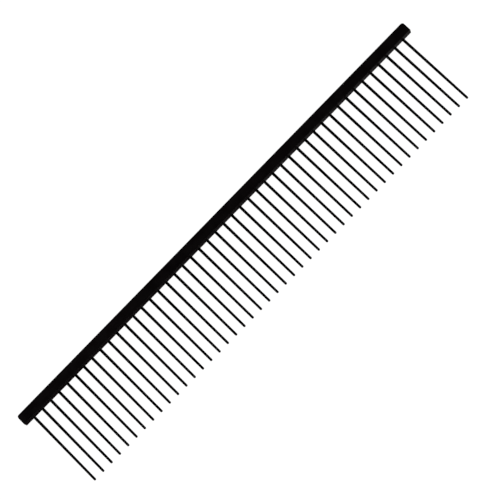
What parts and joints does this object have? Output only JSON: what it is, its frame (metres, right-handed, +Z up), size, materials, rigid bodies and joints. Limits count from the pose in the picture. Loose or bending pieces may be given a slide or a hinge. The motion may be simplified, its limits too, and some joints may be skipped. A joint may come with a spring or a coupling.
{
  "type": "grooming comb",
  "caption": "Straight black-coated steel grooming comb: a slim square spine bar with a row of long, tapered, round-tipped teeth for untangling and lifting an animal's coat.",
  "frame": {"origin": "middle of the spine's lower side face, the face that the comb lies on", "axes": "+X along the spine, the teeth point along -Y, +Z up through the comb's thickness"},
  "size_m": [0.254, 0.0469, 0.0052],
  "materials": {
    "spine_coat": "satin black coating over a solid steel bar",
    "tooth_coat": "smooth black coating over ground steel wire"
  },
  "bodies": {
    "root": {"spine": "spine_coat", "tooth_01": "tooth_coat", "tooth_02": "tooth_coat", "tooth_03": "tooth_coat", "tooth_04": "tooth_coat", "tooth_05": "tooth_coat", "tooth_06": "tooth_coat", "tooth_07": "tooth_coat", "tooth_08": "tooth_coat", "tooth_09": "tooth_coat", "tooth_10": "tooth_coat", "tooth_11": "tooth_coat", "tooth_12": "tooth_coat", "tooth_13": "tooth_coat", "tooth_14": "tooth_coat", "tooth_15": "tooth_coat", "tooth_16": "tooth_coat", "tooth_17": "tooth_coat", "tooth_18": "tooth_coat", "tooth_19": "tooth_coat", "tooth_20": "tooth_coat", "tooth_21": "tooth_coat", "tooth_22": "tooth_coat", "tooth_23": "tooth_coat", "tooth_24": "tooth_coat", "tooth_25": "tooth_coat", "tooth_26": "tooth_coat", "tooth_27": "tooth_coat", "tooth_28": "tooth_coat", "tooth_29": "tooth_coat", "tooth_30": "tooth_coat", "tooth_31": "tooth_coat", "tooth_32": "tooth_coat", "tooth_33": "tooth_coat", "tooth_34": "tooth_coat", "tooth_35": "tooth_coat", "tooth_36": "tooth_coat", "tooth_37": "tooth_coat", "tooth_38": "tooth_coat", "tooth_39": "tooth_coat", "tooth_40": "tooth_coat", "tooth_41": "tooth_coat", "tooth_42": "tooth_coat", "tooth_43": "tooth_coat", "tooth_44": "tooth_coat", "tooth_45": "tooth_coat", "tooth_46": "tooth_coat"}
  },
  "joints": []
}
